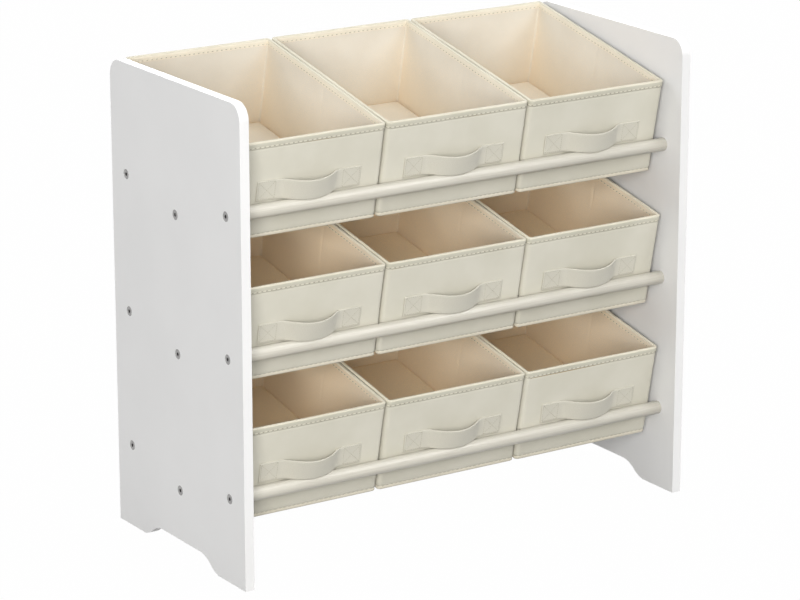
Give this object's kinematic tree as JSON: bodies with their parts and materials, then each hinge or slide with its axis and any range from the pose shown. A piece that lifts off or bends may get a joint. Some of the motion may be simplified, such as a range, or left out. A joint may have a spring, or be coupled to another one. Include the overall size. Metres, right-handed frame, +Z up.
{
  "type": "tiered toy storage rack",
  "caption": "Children's storage rack with painted side panels, dowel rails in tiers and open fabric bins that lean forward and lift out.",
  "frame": {"origin": "on the floor, under the middle of the box that holds the rack and its bins at rest", "axes": "+X along the rack's width, -Y out of its front, +Z up"},
  "size_m": [0.625, 0.3058, 0.5708],
  "materials": {
    "panel_paint": "white satin paint on fibreboard",
    "dowel": "pale cream satin lacquer",
    "screw": "bright zinc plate",
    "insert": "yellow zinc plate",
    "bin_fabric": "ivory non-woven fabric",
    "rim_tape": "ivory folded binding tape",
    "wall_card": "raw grey board",
    "base_board": "padded board covered in ivory fabric",
    "handle_webbing": "ivory folded fabric strap"
  },
  "bodies": {
    "rack": {"left_panel": "panel_paint", "right_panel": "panel_paint", "front_rail_bottom": "dowel", "middle_rail_bottom": "dowel", "rear_rail_bottom": "dowel", "front_rail_middle": "dowel", "middle_rail_middle": "dowel", "rear_rail_middle": "dowel", "front_rail_top": "dowel", "middle_rail_top": "dowel", "rear_rail_top": "dowel", "left_screws": "screw", "right_screws": "screw", "rail_inserts": "insert"},
    "bottom_left_bin_body": {"bin_bottom_left": "bin_fabric", "rim_tape_bottom_left": "rim_tape", "wall_cards_bottom_left": "wall_card", "base_board_bottom_left": "base_board", "handle_bottom_left": "handle_webbing"},
    "bottom_centre_bin_body": {"bin_bottom_centre": "bin_fabric", "rim_tape_bottom_centre": "rim_tape", "wall_cards_bottom_centre": "wall_card", "base_board_bottom_centre": "base_board", "handle_bottom_centre": "handle_webbing"},
    "bottom_right_bin_body": {"bin_bottom_right": "bin_fabric", "rim_tape_bottom_right": "rim_tape", "wall_cards_bottom_right": "wall_card", "base_board_bottom_right": "base_board", "handle_bottom_right": "handle_webbing"},
    "middle_left_bin_body": {"bin_middle_left": "bin_fabric", "rim_tape_middle_left": "rim_tape", "wall_cards_middle_left": "wall_card", "base_board_middle_left": "base_board", "handle_middle_left": "handle_webbing"},
    "middle_centre_bin_body": {"bin_middle_centre": "bin_fabric", "rim_tape_middle_centre": "rim_tape", "wall_cards_middle_centre": "wall_card", "base_board_middle_centre": "base_board", "handle_middle_centre": "handle_webbing"},
    "middle_right_bin_body": {"bin_middle_right": "bin_fabric", "rim_tape_middle_right": "rim_tape", "wall_cards_middle_right": "wall_card", "base_board_middle_right": "base_board", "handle_middle_right": "handle_webbing"},
    "top_left_bin_body": {"bin_top_left": "bin_fabric", "rim_tape_top_left": "rim_tape", "wall_cards_top_left": "wall_card", "base_board_top_left": "base_board", "handle_top_left": "handle_webbing"},
    "top_centre_bin_body": {"bin_top_centre": "bin_fabric", "rim_tape_top_centre": "rim_tape", "wall_cards_top_centre": "wall_card", "base_board_top_centre": "base_board", "handle_top_centre": "handle_webbing"},
    "top_right_bin_body": {"bin_top_right": "bin_fabric", "rim_tape_top_right": "rim_tape", "wall_cards_top_right": "wall_card", "base_board_top_right": "base_board", "handle_top_right": "handle_webbing"}
  },
  "joints": [
    {"name": "tip_bottom_left_bin", "type": "hinge", "parent": "rack", "child": "bottom_left_bin_body", "pos_m": [0, 0.10857, 0.1025], "axis": [-1, 0, 0], "range_deg": [0, 11.65]},
    {"name": "tip_bottom_centre_bin", "type": "hinge", "parent": "rack", "child": "bottom_centre_bin_body", "pos_m": [0, 0.10857, 0.1025], "axis": [-1, 0, 0], "range_deg": [0, 11.65]},
    {"name": "tip_bottom_right_bin", "type": "hinge", "parent": "rack", "child": "bottom_right_bin_body", "pos_m": [0, 0.10857, 0.1025], "axis": [-1, 0, 0], "range_deg": [0, 11.65]},
    {"name": "tip_middle_left_bin", "type": "hinge", "parent": "rack", "child": "middle_left_bin_body", "pos_m": [0, 0.10857, 0.2695], "axis": [-1, 0, 0], "range_deg": [0, 11.65]},
    {"name": "tip_middle_centre_bin", "type": "hinge", "parent": "rack", "child": "middle_centre_bin_body", "pos_m": [0, 0.10857, 0.2695], "axis": [-1, 0, 0], "range_deg": [0, 11.65]},
    {"name": "tip_middle_right_bin", "type": "hinge", "parent": "rack", "child": "middle_right_bin_body", "pos_m": [0, 0.10857, 0.2695], "axis": [-1, 0, 0], "range_deg": [0, 11.65]},
    {"name": "lift_top_left_bin", "type": "slide", "parent": "rack", "child": "top_left_bin_body", "axis": [0, -0.2019, 0.9794], "range_m": [0, 0.19]},
    {"name": "lift_top_centre_bin", "type": "slide", "parent": "rack", "child": "top_centre_bin_body", "axis": [0, -0.2019, 0.9794], "range_m": [0, 0.19]},
    {"name": "lift_top_right_bin", "type": "slide", "parent": "rack", "child": "top_right_bin_body", "axis": [0, -0.2019, 0.9794], "range_m": [0, 0.19]}
  ]
}
